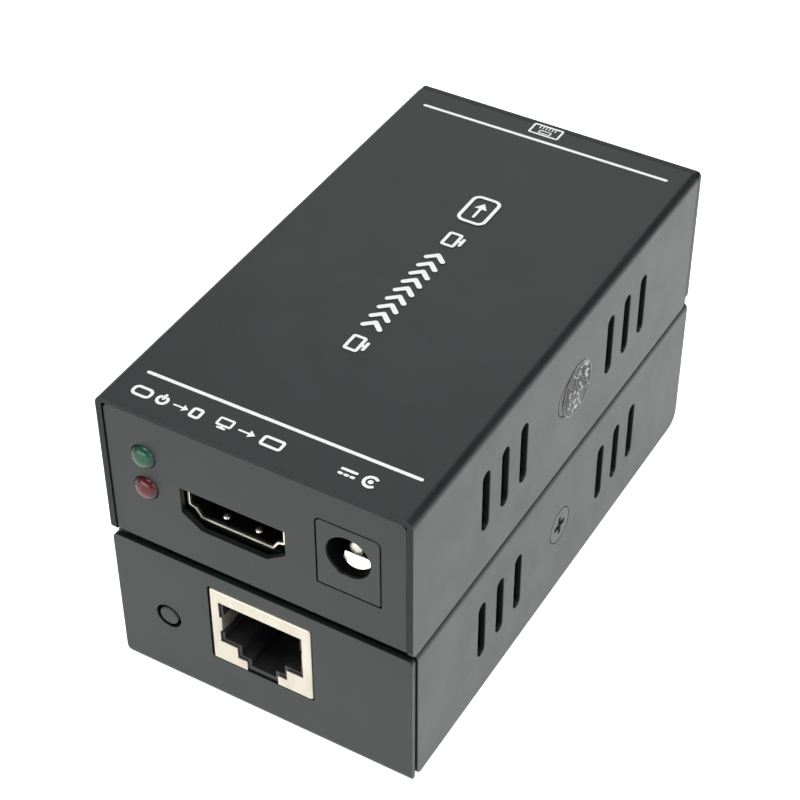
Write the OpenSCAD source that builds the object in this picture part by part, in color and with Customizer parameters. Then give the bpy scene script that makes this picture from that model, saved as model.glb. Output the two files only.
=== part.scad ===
// A pair of metal-cased signal extenders for one network cable, stacked as they are photographed.
// The receiver lies on the sender. Both have the same folded steel case, and the sender is
// turned end for end, so that its network end faces the front below the receiver's video end.
// The origin is the middle of the stack's underside, +X is to the right, +Y to the back, +Z up.
// Each unit is drawn in its own frame: the video end at -Y, the network end at +Y, and the
// middle of the base's underside at the origin. The modules receiver and sender place it.
// The cover's walls run past the video end's panel, and stop behind the network end's panel.
// Pieces at an end are drawn in that end's frame, with Y running inwards from the panel's face.

/* [Case] */
// Width over the cover's two walls
case_w = 46.8; // [45.5:0.1:50]
// Length of the case from end to end
case_l = 83.7; // [82:0.1:92]
// Height of the cover from its lower edges to its top
cover_h = 24; // [23.5:0.1:26]
// Thickness of the folded sheet
sheet_t = 0.9; // [0.8:0.1:1.1]
// Outer radius of the folds
bend_r = 1.3; // [1.2:0.1:1.6]
// How far the base's underside stands below the cover's lower edges
base_drop = 0.3; // [0.2:0.05:0.6]
// Depth of the video end's panel behind the cover's edge
panel_inset = 0.25; // [0.15:0.05:0.5]
// Gap between the cover and the base inside it
case_gap = 0.15; // [0.1:0.05:0.2]
// Gap between the cover's end and the network end's panel before it
lap_gap = 0.4; // [0.2:0.05:0.6]

/* [Vent slots] */
// Width of a vent slot
slot_w = 2; // [1.6:0.1:2.4]
// Length of a vent slot with its round ends
slot_l = 10.1; // [8:0.1:11]
// Pitch of the slots within a group
slot_pitch = 5.2; // [4.6:0.1:5.6]
// Distance of a slot group's middle from the middle of the wall
slot_group_y = 18; // [16:0.5:20]
// Height of the slots' middle above the middle of the wall
slot_rise = 0.3; // [0:0.05:1]

/* [Sockets] */
// Centre of the video socket, from the middle of its panel
video_x = -3.55; // [-3.8:0.05:-3.2]
// Width of the video socket's shell
video_w = 15; // [14.8:0.1:15.2]
// Height of the video socket's shell
video_h = 5.55; // [5.4:0.05:5.7]
// Centre of the power socket, in from the right side of its panel
power_x = 8.4; // [8.1:0.05:8.7]
// Diameter of the power socket's mouth
power_bore_d = 6.5; // [6.3:0.1:6.6]
// Diameter of the power socket's centre pin
power_pin_d = 2.1; // [1.8:0.1:2.5]
// Width of the network socket's shield
net_w = 16; // [15.6:0.1:16.4]
// Height of the network socket's shield
net_h = 13.4; // [13.2:0.1:13.6]

/* [Lamps and button] */
// Centre of the status lamps, in from the left side of their panel
lamp_x = 5.65; // [5.2:0.05:5.9]
// Diameter of a status lamp
lamp_d = 3.6; // [3:0.1:3.7]
// Distance between the two lamps
lamp_pitch = 5.5; // [5:0.05:5.8]
// Centre of the push button, in from the left side of its panel as its end is faced
button_x = 7.2; // [6.8:0.05:7.5]
// Diameter of the push button
button_d = 3.1; // [2.8:0.1:3.3]
// Travel of the push button
button_travel = 0.25; // [0.2:0.05:0.4]

/* [Hidden] */
$fn = 48;

// Overrun of every cut past the face that it opens
cut = 1;

// Case, worked out from the driving sizes
unit_h = cover_h + base_drop;
base_w = case_w - 2 * (sheet_t + case_gap);
face_y = case_l / 2 - panel_inset;
lap_face_y = case_l / 2;
lap_side_in = 0.15;
lap_w = case_w - 2 * lap_side_in;
lap_drop = 0.3;
lap_top = unit_h - lap_drop;
lap_top_corner_r = 0.8;
lap_left_corner_r = 1.9;
lap_right_corner_r = 0.6;
cover_l = case_l - sheet_t - lap_gap;
panel_top = unit_h - sheet_t - case_gap;
inner_r = bend_r - sheet_t;
wall_corner_r = 1.1;
sender_tail_corner_r = 2.3;
panel_corner_r = 1;
flange_h = 4;
flange_end_gap = 2;
flange_l = 2 * (face_y - sheet_t - flange_end_gap);
tab_w = 12;
tab_rise = 4.25;
tab_corner_r = 2;
power_mid = base_w / 2 - power_x;
lamp_mid = lamp_x - base_w / 2;
button_mid = button_x - base_w / 2;

// Board on its spacers, as high as the network socket's room below the roof allows
board_t = 1.6;
board_end_gap = 0.4;
board_side_gap = 0.5;
roof_room = 2;
board_top = unit_h - sheet_t - roof_room - net_h;
board_l = 2 * (face_y - sheet_t - board_end_gap);
board_w = base_w - 2 * (sheet_t + board_side_gap);
board_corner_r = 1;
board_front = -board_l / 2;
board_back = board_l / 2;
spacer_h = board_top - board_t - sheet_t;
spacer_across = 5.5;
spacer_side_in = 3.5;
spacer_front_in = 20.2;
spacer_back_in = 16.2;

// Screws: one size of thread, with a flat head outside and a pan head on the board
thread_d = 3;
thread_gap = 0.05;
flat_head_d = 5.6;
flat_head_rim = 0.2;
flat_head_gap = 0.1;
flat_head_h = (flat_head_d - thread_d) / 2 + flat_head_rim;
side_screw_l = 5;
screw_z = base_drop + cover_h / 2 + slot_rise;
tab_top = screw_z + tab_rise;
pan_head_d = 5.6;
pan_head_h = 1.9;
board_screw_room = 1.6;
board_screw_l = board_t + spacer_h - board_screw_room;
drive_w = 0.75;
drive_l = 3;
drive_depth = 0.9;

// Seal film over the receiver's right-hand side screw
seal_d = 8.4;
seal_t = 0.1;
seal_y = 2.7;
seal_low = 0.45;
seal_z = screw_z - seal_low;

// Video socket
video_setback = 1.15;
video_l = 11;
video_wall = 0.35;
video_lift = 0.1;
video_bottom = board_top + video_lift;
video_top = video_bottom + video_h;
video_side_h = 3.9;
video_step_in = 1.1;
video_step_drop = 0.35;
video_foot_in = 1.9;
video_cut_gap = 0.45;
video_cut_shift = 0.2;
video_cut_drop = 0.85;
video_cut_h = 6.3;
video_cut_side_h = 4.25;
video_cut_foot_in = 3;
video_leg_l = 2;
video_spring_x = 2.6;
video_spring_w = 1.1;
video_spring_y = 1;
video_spring_l = 3.4;
video_spring_rise = 0.5;
video_spring_t = 0.2;
tongue_w = 10.4;
tongue_t = 1.2;
tongue_rise = 3.1;
tongue_z = video_bottom + tongue_rise;
tongue_setback = 2.4;
insert_plug_l = 3.4;
insert_gap = 0.05;
insert_heel_l = 0.8;
insert_heel_w = 13;
video_contact_w = 0.4;
video_contact_t = 0.12;
video_contact_pitch = 1;
video_contact_count = 19;
video_contact_lead_in = 0.6;
video_tail_l = 1.1;
video_tail_pitch = 0.5;
video_tail_w = 0.25;
video_tail_t = 0.15;

// Power socket
power_w = 9.2;
power_h = 11.2;
power_lip_h = 0.8;
power_lip_l = 1.2;
power_cut_gap = 0.18;
power_cut_r = 0.9;
power_front_r = 0.7;
power_front_l = 3.4;
power_l = 14.2;
power_axis_rise = 5.6;
power_axis_z = board_top + power_axis_rise;
power_barrel_r = 4.4;
power_bore_l = 9.4;
power_notch_w = 0.8;
power_notch_h = 0.2;
power_notch_angle = 22;
power_pin_setback = 1.7;
power_pin_gap = 0.03;
power_pin_seat = 1.5;
power_spring_w = 3.9;
power_spring_t = 0.3;
power_spring_rise = 1.9;
power_spring_front = 1.5;
power_spring_crest = 2.7;
power_spring_back = 0.3;
power_channel_gap = 0.1;

// Network socket
net_proud = 0.05;
net_l = 16.4;
net_wall = 0.3;
net_cut_gap = 0.2;
net_corner_r = 0.5;
net_open_w = 13.1;
net_open_top = 11.2;
net_open_bottom = 3.55;
net_step_w = 7.85;
net_step_bottom = 1.65;
net_latch_w = 4.9;
net_house_gap = 0.05;
net_lip = 0.5;
net_cavity_l = 11.6;
net_floor_t = 0.8;
net_contact_pitch = 1.02;
net_contact_count = 8;
net_contact_w = 0.4;
net_groove_w = 0.62;
net_groove_h = 0.8;
net_contact_start = 2.2;
net_contact_drop = 2;
net_contact_l = 7.2;
net_finger_w = 2.6;
net_finger_l = 5;
net_finger_z = 5.6;
net_finger_t = 0.25;
net_finger_rise = 0.5;

// Lamps and their holder
lamp_rise = 2.95;
lamp_low_z = board_top + lamp_rise;
lamp_hole_gap = 0.07;
lamp_hole_d = lamp_d + 2 * lamp_hole_gap;
lamp_proud = 1;
lamp_l = 6.1;
lamp_rim_out = 0.35;
lamp_rim_d = lamp_d + 2 * lamp_rim_out;
lamp_rim_t = 0.9;
lamp_gap = 0.05;
holder_front = 2.2;
holder_l = 6;
holder_w = 5.4;
holder_margin = 2.4;

// Push button and its switch
button_rise = 3.9;
button_z = board_top + button_rise;
button_hole_gap = 0.45;
button_hole_d = button_d + 2 * button_hole_gap;
switch_w = 6;
switch_front = 3.2;
switch_l = 3.6;
switch_margin = 3;
switch_gap = 0.07;
switch_guide_l = 1.6;
button_collar_t = 0.6;
button_collar_out = 0.5;
button_tip_chamfer = 0.2;

// Parts on the board, each with its place on it: the regulator and two capacitors keep their
// distance from the front edge, and the others theirs from the middle
main_chip_w = 10;
main_chip_t = 1.4;
main_chip_at = [-4, -9];
chip_lead_count = 16;
chip_lead_pitch = 0.5;
chip_lead_w = 0.22;
chip_lead_l = 1;
chip_lead_t = 0.15;
chip_lead_shoulder = 0.35;
chip_lift = 0.1;
line_chip_w = 7;
line_chip_t = 0.9;
line_chip_at = [0, 11];
regulator_w = 6.5;
regulator_l = 3.5;
regulator_t = 1.6;
regulator_tab_w = 3;
regulator_lead_w = 0.7;
regulator_lead_l = 1.7;
regulator_lead_t = 0.25;
regulator_pitch = 2.3;
regulator_front_in = 22.2;
regulator_at = [6, board_front + regulator_front_in];
crystal_w = 4.6;
crystal_l = 11;
crystal_t = 3.5;
crystal_rim = 0.3;
crystal_rim_t = 0.4;
crystal_side_in = 5.8;
crystal_at = [crystal_side_in - board_w / 2, 3];
can_d = 6.3;
can_h = 5.6;
can_foot_w = 6.6;
can_foot_t = 1;
can_foot_chamfer = 1.2;
can_front_in = 32;
can_stagger = 1;
can_places = [
    [7.5, board_front + can_front_in + can_stagger], [14.6, board_front + can_front_in], [12, 12]
];
coil_d = 7.6;
coil_h = 4.5;
coil_flange_t = 0.9;
coil_waist_in = 1.1;
coil_foot_t = 0.5;
coil_at = [-11, 13];

// Placing of the two units and of their ends
module receiver() {
    translate([0, 0, unit_h]) children();
}

module sender() {
    rotate([0, 0, 180]) children();
}

module video_end() {
    translate([0, -face_y, 0]) children();
}

module network_end() {
    rotate([0, 0, 180]) translate([0, -lap_face_y, 0]) children();
}

// Extrusions of a profile drawn in X and Z along Y, and of one drawn in Y and Z along X
module along_y(start, len) {
    translate([0, start + len, 0]) rotate([90, 0, 0]) linear_extrude(height = len) children();
}

module along_x(start, len) {
    translate([start, 0, 0]) rotate([90, 0, 90]) linear_extrude(height = len) children();
}

// Rectangle standing on Y = 0 and centred on X, with a radius on its upper and lower corners
module plate_outline(w, h, top_r, low_r) {
    difference() {
        translate([-w / 2, 0]) square([w, h]);
        for (side = [-1, 1]) {
            corner_waste(side * w / 2, h, -side, -1, top_r);
            corner_waste(side * w / 2, 0, -side, 1, low_r);
        }
    }
}

// The waste outside a rounded corner at (x, y), whose material lies towards (dx, dy)
module corner_waste(x, y, dx, dy, r) {
    if (r > 0) {
        translate([x, y]) scale([dx, dy]) difference() {
            translate([-cut, -cut]) square([r + cut, r + cut]);
            translate([r, r]) circle(r);
            translate([r, -2 * cut]) square([r + 2 * cut, r + 4 * cut]);
            translate([-2 * cut, r]) square([r + 4 * cut, r + 2 * cut]);
        }
    }
}

// A bar with round ends, standing along Y about the origin
module slot_outline(w, l) {
    translate([-w / 2, -(l - w) / 2]) square([w, l - w]);
    for (side = [-1, 1]) translate([0, side * (l - w) / 2]) circle(w / 2);
}

// Case: the cover is one sheet folded into a roof and two walls
module cover_slots() {
    for (group = [-1, 1], step = [-1, 0, 1]) {
        translate([-case_w / 2 - cut, group * slot_group_y + step * slot_pitch, screw_z])
            rotate([90, 0, 90]) linear_extrude(height = case_w + 2 * cut) slot_outline(slot_w, slot_l);
    }
}

module cover(tail_corner_r = wall_corner_r) {
    color("#2f3132") difference() {
        intersection() {
            along_y(-case_l / 2, cover_l) translate([0, base_drop]) difference() {
                plate_outline(case_w, cover_h, bend_r, 0);
                translate([0, -cut]) plate_outline(case_w - 2 * sheet_t, cover_h - sheet_t + cut, inner_r, 0);
            }
            along_x(-case_w / 2, case_w) difference() {
                translate([-case_l / 2, base_drop]) square([cover_l, cover_h]);
                corner_waste(-case_l / 2, base_drop, 1, 1, tail_corner_r);
                corner_waste(cover_l - case_l / 2, base_drop, -1, 1, wall_corner_r);
            }
        }
        cover_slots();
        for (side = [-1, 1]) side_screw_place(side) countersink();
    }
}

// Side screws: the place is the cover's outer face, with Z pointing out of the wall
module side_screw_place(side) {
    translate([side * case_w / 2, 0, screw_z]) rotate([0, side * 90, 0]) children();
}

module countersink() {
    hole_r = thread_d / 2 + thread_gap;
    mouth_r = flat_head_d / 2 + flat_head_gap;
    depth = mouth_r - hole_r + flat_head_rim;
    translate([0, 0, -side_screw_l - 2 * cut]) cylinder(h = side_screw_l + 3 * cut, r = hole_r);
    translate([0, 0, -depth]) cylinder(h = depth - flat_head_rim, r1 = hole_r, r2 = mouth_r);
    translate([0, 0, -flat_head_rim]) cylinder(h = flat_head_rim + cut, r = mouth_r);
}

module cross_recess() {
    for (turn = [0, 90]) rotate([0, 0, turn]) translate([-drive_l / 2, -drive_w / 2, -drive_depth])
        cube([drive_l, drive_w, drive_depth + cut]);
}

module side_screws() {
    color("#1b1b1c") for (side = [-1, 1]) side_screw_place(side) difference() {
        union() {
            translate([0, 0, -flat_head_rim]) cylinder(h = flat_head_rim, r = flat_head_d / 2);
            translate([0, 0, -flat_head_h]) cylinder(h = flat_head_h - flat_head_rim,
                r1 = thread_d / 2, r2 = flat_head_d / 2);
            translate([0, 0, -side_screw_l]) cylinder(h = side_screw_l - flat_head_h, r = thread_d / 2);
        }
        cross_recess();
    }
}

// Base: one sheet with the floor, two end panels, two side flanges and a screw tab on each.
// The network end's panel is as wide as the case, and laps over the ends of the cover.
module base_sheet() {
    base_l = face_y + lap_face_y;
    intersection() {
        along_x(-base_w / 2, base_w) translate([base_l / 2 - face_y, 0]) difference() {
            plate_outline(base_l, panel_top, 0, bend_r);
            translate([0, sheet_t]) plate_outline(base_l - 2 * sheet_t, panel_top, 0, inner_r);
        }
        along_y(-face_y, base_l) plate_outline(base_w, panel_top, panel_corner_r, bend_r);
    }
    network_end() intersection() {
        along_x(-lap_w / 2, lap_w) difference() {
            square([sheet_t, lap_top]);
            corner_waste(0, 0, 1, 1, bend_r);
        }
        along_y(0, sheet_t) difference() {
            plate_outline(lap_w, lap_top, lap_top_corner_r, 0);
            corner_waste(-lap_w / 2, 0, 1, 1, lap_left_corner_r);
            corner_waste(lap_w / 2, 0, -1, 1, lap_right_corner_r);
        }
    }
    along_y(-flange_l / 2, flange_l) difference() {
        plate_outline(base_w, flange_h, 0, bend_r);
        translate([0, sheet_t]) plate_outline(base_w - 2 * sheet_t, flange_h, 0, inner_r);
    }
    for (side = [-1, 1]) along_x(side * (base_w - sheet_t) / 2 - sheet_t / 2, sheet_t)
        translate([0, bend_r]) plate_outline(tab_w, tab_top - bend_r, tab_corner_r, 0);
}

module video_cut_outline() {
    half = video_w / 2 + video_cut_gap;
    low = board_top - video_cut_drop;
    high = low + video_cut_h;
    translate([video_cut_shift, 0]) polygon([
        [-half, high], [-half, high - video_cut_side_h], [-half + video_cut_foot_in, low],
        [half - video_cut_foot_in, low], [half, high - video_cut_side_h], [half, high]
    ]);
}

module base(with_button = false) {
    color("#353738") difference() {
        base_sheet();
        for (side = [-1, 1]) side_screw_place(side) countersink();
        video_end() {
            translate([video_x, 0, 0]) along_y(-cut, sheet_t + 2 * cut) video_cut_outline();
            translate([power_mid, 0, board_top - power_lip_h - power_cut_gap]) along_y(-cut, sheet_t + 2 * cut)
                plate_outline(power_w + 2 * power_cut_gap, power_h + 2 * power_cut_gap, power_cut_r, 0);
            for (level = [0, 1]) lamp_place(level)
                translate([0, 0, -sheet_t - cut]) cylinder(h = sheet_t + 2 * cut, d = lamp_hole_d);
        }
        network_end() {
            translate([0, 0, board_top - net_cut_gap]) along_y(-cut, sheet_t + 2 * cut)
                plate_outline(net_w + 2 * net_cut_gap, net_h + 2 * net_cut_gap, net_corner_r, net_corner_r);
            if (with_button) button_place()
                translate([0, 0, -sheet_t - cut]) cylinder(h = sheet_t + 2 * cut, d = button_hole_d);
        }
    }
}

// Board, spacers and board screws
module spacer_places() {
    for (side = [-1, 1], y = [board_front + spacer_front_in, board_back - spacer_back_in])
        translate([side * (board_w / 2 - spacer_side_in), y, 0]) children();
}

module spacers() {
    color("#b9a469") spacer_places() translate([0, 0, sheet_t]) difference() {
        cylinder(h = spacer_h, d = spacer_across, $fn = 6);
        translate([0, 0, -cut]) cylinder(h = spacer_h + 2 * cut, r = thread_d / 2 + thread_gap, $fn = 24);
    }
}

module board() {
    color("#1c5134") translate([0, 0, board_top - board_t]) difference() {
        linear_extrude(height = board_t) translate([0, -board_l / 2])
            plate_outline(board_w, board_l, board_corner_r, board_corner_r);
        spacer_places() translate([0, 0, -cut]) cylinder(h = board_t + 2 * cut, r = thread_d / 2 + 2 * thread_gap);
    }
}

module board_screws() {
    color("#c9ccd0") spacer_places() translate([0, 0, board_top]) difference() {
        union() {
            cylinder(h = pan_head_h, d = pan_head_d);
            translate([0, 0, -board_screw_l]) cylinder(h = board_screw_l + pan_head_h / 2, d = thread_d);
        }
        translate([0, 0, pan_head_h]) cross_recess();
    }
}

// Video socket: a folded shell, a black insert with its tongue, and nineteen contacts
module video_outline(inset) {
    half = video_w / 2 - inset;
    high = video_top - inset;
    low = video_bottom + inset;
    step_z = video_top - video_side_h + inset / 2;
    polygon([
        [-half, high], [-half, step_z], [-half + video_step_in, step_z - video_step_drop],
        [-half + video_foot_in, low], [half - video_foot_in, low],
        [half - video_step_in, step_z - video_step_drop], [half, step_z], [half, high]
    ]);
}

module video_shell() {
    color("#cfcdc4") video_end() translate([video_x, video_setback, 0]) {
        along_y(0, video_l) difference() {
            video_outline(0);
            video_outline(video_wall);
        }
        for (side = [-1, 1]) video_spring(side);
        leg_h = video_top - video_side_h - board_top + video_wall;
        for (side = [-1, 1], y = [video_leg_l, video_l - 2 * video_leg_l])
            translate([side * (video_w - video_wall) / 2 - video_wall / 2, y, board_top])
                cube([video_wall, video_leg_l, leg_h]);
    }
}

// A raised spring on the shell's lower wall, which holds the plug
module video_spring(side) {
    floor_z = video_bottom + video_wall;
    translate([side * video_spring_x, 0, 0]) along_x(-video_spring_w / 2, video_spring_w) polygon([
        [video_spring_y, floor_z], [video_spring_y + video_spring_rise, floor_z + video_spring_rise],
        [video_spring_y + 2 * video_spring_rise, floor_z + video_spring_rise],
        [video_spring_y + video_spring_l, floor_z + video_spring_t], [video_spring_y + video_spring_l, floor_z]
    ]);
}

module video_insert() {
    color("#141415") video_end() translate([video_x, video_setback, 0]) {
        translate([-tongue_w / 2, tongue_setback, tongue_z - tongue_t / 2])
            cube([tongue_w, video_l - insert_plug_l - tongue_setback + insert_gap, tongue_t]);
        along_y(video_l - insert_plug_l, insert_plug_l) video_outline(video_wall + insert_gap);
        translate([-insert_heel_w / 2, video_l, board_top])
            cube([insert_heel_w, insert_heel_l, video_top - board_top - video_wall - insert_gap]);
    }
}

module video_contacts() {
    strip_start = tongue_setback + video_contact_lead_in;
    strip_l = video_l - insert_plug_l - strip_start;
    color("#c9a24a") video_end() translate([video_x, video_setback, 0]) {
        for (i = [0 : video_contact_count - 1]) {
            above = i % 2 == 0;
            x = (i - (video_contact_count - 1) / 2) * video_contact_pitch / 2;
            z = above ? tongue_z + tongue_t / 2 : tongue_z - tongue_t / 2 - video_contact_t;
            translate([x - video_contact_w / 2, strip_start, z]) cube([video_contact_w, strip_l, video_contact_t]);
            translate([x * video_tail_pitch / (video_contact_pitch / 2) - video_tail_w / 2,
                video_l + insert_heel_l, board_top]) cube([video_tail_w, video_tail_l, video_tail_t]);
        }
    }
}

// Power socket: a body with a flush front and a lip that hangs before the board's edge, its
// centre pin and its spring contact
module power_body_outline() {
    translate([0, power_axis_z]) circle(power_barrel_r);
    translate([-power_barrel_r, board_top]) square([2 * power_barrel_r, power_axis_z - board_top]);
}

module power_channel_outline(gap) {
    translate([-power_spring_w / 2 - gap, power_axis_z - power_bore_d / 2 - power_spring_t - gap])
        square([power_spring_w + 2 * gap, power_bore_d / 2]);
}

module power_socket() {
    color("#2b2c2d") video_end() translate([power_mid, 0, 0]) difference() {
        union() {
            translate([0, 0, board_top - power_lip_h]) along_y(0, power_lip_l)
                plate_outline(power_w, power_h, power_front_r, 0);
            translate([0, 0, board_top]) along_y(0, power_front_l)
                plate_outline(power_w, power_h - power_lip_h, power_front_r, 0);
            along_y(0, power_l) power_body_outline();
        }
        translate([0, power_bore_l, power_axis_z]) rotate([90, 0, 0])
            cylinder(h = power_bore_l + cut, d = power_bore_d);
        translate([0, power_bore_l + power_pin_seat, power_axis_z]) rotate([90, 0, 0])
            cylinder(h = power_pin_seat + cut, r = power_pin_d / 2 + power_pin_gap);
        along_y(power_spring_front - power_channel_gap, power_bore_l - power_spring_front + power_channel_gap)
            power_channel_outline(power_channel_gap);
        translate([0, -cut, power_axis_z]) rotate([0, power_notch_angle, 0])
            translate([-power_notch_w / 2, 0, -power_bore_d / 2 - power_notch_h])
            cube([power_notch_w, power_front_l / 2 + cut, power_bore_d / 2]);
    }
}

module power_pin() {
    pin_r = power_pin_d / 2;
    color("#d5d3cc") video_end() translate([power_mid, power_bore_l + power_pin_seat, power_axis_z])
        rotate([90, 0, 0]) {
            cylinder(h = power_bore_l + power_pin_seat - power_pin_setback - pin_r, r = pin_r);
            translate([0, 0, power_bore_l + power_pin_seat - power_pin_setback - pin_r]) sphere(pin_r);
        }
}

module power_spring() {
    low = power_axis_z - power_bore_d / 2 - power_spring_t;
    back = power_bore_l - power_spring_back;
    crest = low + power_spring_rise;
    color("#d5d3cc") video_end() translate([power_mid, 0, 0]) along_x(-power_spring_w / 2, power_spring_w)
        polygon([
            [power_spring_front, low], [power_spring_crest, crest], [back, low + power_spring_t], [back, low],
            [power_spring_crest + 0.5 * power_spring_t, crest - 1.6 * power_spring_t],
            [power_spring_front + 1.3 * power_spring_t, low]
        ]);
}

// Network socket: a nickel shield, a black housing with its plug cavity, and eight contacts
module net_opening(inset, low) {
    half = net_open_w / 2 - inset;
    polygon([
        [-half, net_open_top - inset], [-half, net_open_bottom + inset],
        [-net_step_w / 2 + inset, net_open_bottom + inset], [-net_step_w / 2 + inset, net_step_bottom + inset],
        [-net_latch_w / 2 + inset, net_step_bottom + inset], [-net_latch_w / 2 + inset, low],
        [net_latch_w / 2 - inset, low], [net_latch_w / 2 - inset, net_step_bottom + inset],
        [net_step_w / 2 - inset, net_step_bottom + inset], [net_step_w / 2 - inset, net_open_bottom + inset],
        [half, net_open_bottom + inset], [half, net_open_top - inset]
    ]);
}

module network_shield() {
    inner_w = net_w - 2 * net_wall;
    color("#d2cfc6") network_end() translate([0, -net_proud, board_top]) {
        difference() {
            along_y(0, net_l) plate_outline(net_w, net_h, net_corner_r, 0);
            translate([-inner_w / 2, net_wall, -cut]) cube([inner_w, net_l - 2 * net_wall, net_h - net_wall + cut]);
            along_y(-cut, net_wall + 2 * cut) net_opening(0, -cut);
        }
        for (side = [-1, 1]) scale([side, 1, 1]) network_finger();
    }
}

// A ground finger that is folded in from the edge of the opening
module network_finger() {
    root = net_open_w / 2;
    translate([0, 0, net_finger_z]) linear_extrude(height = net_finger_w) polygon([
        [root, 0], [root - net_finger_t, net_finger_t], [root - net_finger_rise, net_finger_l / 2],
        [root - net_finger_t, net_finger_l], [root, net_finger_l],
        [root - net_finger_rise + net_finger_t, net_finger_l / 2], [root, net_finger_t]
    ]);
}

module network_housing() {
    house_w = net_w - 2 * (net_wall + net_house_gap);
    house_h = net_h - net_wall - net_house_gap;
    house_start = net_wall + net_house_gap;
    house_l = net_l - 2 * house_start;
    finger_room = net_open_w / 2 - net_finger_rise - net_finger_t;
    color("#17181a") network_end() translate([0, -net_proud, board_top]) difference() {
        along_y(house_start, house_l) plate_outline(house_w, house_h, 0, 0);
        along_y(house_start - cut, net_cavity_l + cut) net_opening(net_lip, net_floor_t);
        for (side = [-1, 1]) scale([side, 1, 1])
            translate([finger_room, house_start - cut, net_finger_z - net_finger_t])
                cube([net_finger_rise + 2 * net_finger_t, net_finger_l + cut, net_finger_w + 2 * net_finger_t]);
        for (i = [0 : net_contact_count - 1])
            translate([net_contact_at(i) - net_groove_w / 2, net_contact_start - net_wall,
                net_open_top - net_lip - net_groove_w])
                cube([net_groove_w, net_cavity_l - net_contact_start, net_groove_h + net_groove_w]);
    }
}

function net_contact_at(i) = (i - (net_contact_count - 1) / 2) * net_contact_pitch;

module network_contacts() {
    wire_top = net_open_top - net_lip + net_groove_h;
    color("#cfa54c") network_end() translate([0, -net_proud, board_top])
        for (i = [0 : net_contact_count - 1])
            translate([net_contact_at(i), 0, 0]) along_x(-net_contact_w / 2, net_contact_w) polygon([
                [net_contact_start, wire_top], [net_contact_start, wire_top - net_contact_w],
                [net_contact_start + net_contact_w, wire_top - net_contact_w],
                [net_contact_start + net_contact_l, wire_top - net_contact_drop - net_contact_w],
                [net_contact_start + net_contact_l, wire_top - net_contact_drop],
                [net_contact_start + 2 * net_contact_w, wire_top]
            ]);
}

// Status lamps: the place is the panel's outer face, with Z pointing out of it
module lamp_place(level) {
    translate([lamp_mid, 0, lamp_low_z + level * lamp_pitch]) rotate([90, 0, 0]) children();
}

module lamp(level) {
    dome_r = lamp_d / 2;
    video_end() lamp_place(level) translate([0, 0, lamp_proud - dome_r]) {
        sphere(dome_r);
        translate([0, 0, -(lamp_l - dome_r)]) cylinder(h = lamp_l - dome_r, r = dome_r);
        translate([0, 0, -(lamp_l - dome_r)]) cylinder(h = lamp_rim_t, d = lamp_rim_d);
    }
}

module green_lamp() {
    color("#2c6a4a") lamp(1);
}

module red_lamp() {
    color("#7a1f24") lamp(0);
}

module lamp_holder() {
    holder_h = lamp_low_z - board_top + lamp_pitch + holder_margin;
    lamp_back = lamp_l - lamp_proud;
    color("#161617") video_end() difference() {
        translate([lamp_mid - holder_w / 2, holder_front, board_top]) cube([holder_w, holder_l, holder_h]);
        for (level = [0, 1]) lamp_place(level) {
            translate([0, 0, -lamp_back - lamp_gap])
                cylinder(h = lamp_back + cut, r = lamp_d / 2 + lamp_gap);
            translate([0, 0, -lamp_back - lamp_gap])
                cylinder(h = lamp_rim_t + 2 * lamp_gap, r = lamp_rim_d / 2 + lamp_gap);
        }
    }
}

// Push button and its upright switch: the place is the panel's outer face
module button_place() {
    translate([button_mid, 0, button_z]) rotate([90, 0, 0]) children();
}

module switch_body() {
    guide_r = button_d / 2 + switch_gap;
    collar_r = guide_r + button_collar_out;
    pocket_l = button_collar_t + button_travel + 2 * switch_gap;
    color("#1a1a1b") network_end() difference() {
        translate([button_mid - switch_w / 2, switch_front, board_top])
            cube([switch_w, switch_l, button_z - board_top + switch_margin]);
        button_place() {
            translate([0, 0, -switch_front - switch_guide_l - cut / 2])
                cylinder(h = switch_guide_l + 3 * cut / 2, r = guide_r);
            translate([0, 0, -switch_front - switch_guide_l - pocket_l]) cylinder(h = pocket_l, r = collar_r);
        }
    }
}

module button() {
    stem_r = button_d / 2;
    collar_r = stem_r + button_collar_out;
    stem_l = switch_front + switch_guide_l + switch_gap;
    color("#2b2c2e") network_end() button_place() rotate_extrude() polygon([
        [0, 0], [stem_r - button_tip_chamfer, 0], [stem_r, -button_tip_chamfer], [stem_r, -stem_l],
        [collar_r, -stem_l], [collar_r, -stem_l - button_collar_t], [0, -stem_l - button_collar_t]
    ]);
}

// Parts on the board
module on_board(place) {
    translate([place[0], place[1], board_top]) children();
}

module main_chip() {
    span = main_chip_w / 2 + chip_lead_l;
    color("#1d1d1f") on_board(main_chip_at) {
        translate([-main_chip_w / 2, -main_chip_w / 2, chip_lift]) cube([main_chip_w, main_chip_w, main_chip_t]);
        for (turn = [0 : 90 : 270], i = [0 : chip_lead_count - 1]) rotate([0, 0, turn]) {
            at = (i - (chip_lead_count - 1) / 2) * chip_lead_pitch - chip_lead_w / 2;
            translate([at, -span, 0]) cube([chip_lead_w, chip_lead_l + chip_lead_shoulder, chip_lead_t]);
        }
    }
}

module line_chip() {
    color("#202022") on_board(line_chip_at)
        translate([-line_chip_w / 2, -line_chip_w / 2, 0]) cube([line_chip_w, line_chip_w, line_chip_t]);
}

module regulator() {
    color("#1f1f21") on_board(regulator_at) {
        translate([-regulator_w / 2, -regulator_l / 2, 0]) cube([regulator_w, regulator_l, regulator_t]);
        translate([-regulator_tab_w / 2, regulator_l / 2 - regulator_lead_t, 0])
            cube([regulator_tab_w, regulator_lead_l + regulator_lead_t, regulator_lead_t]);
        for (step = [-1, 0, 1]) translate([step * regulator_pitch - regulator_lead_w / 2,
            -regulator_l / 2 - regulator_lead_l, 0])
                cube([regulator_lead_w, regulator_lead_l + regulator_lead_t, regulator_lead_t]);
    }
}

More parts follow.
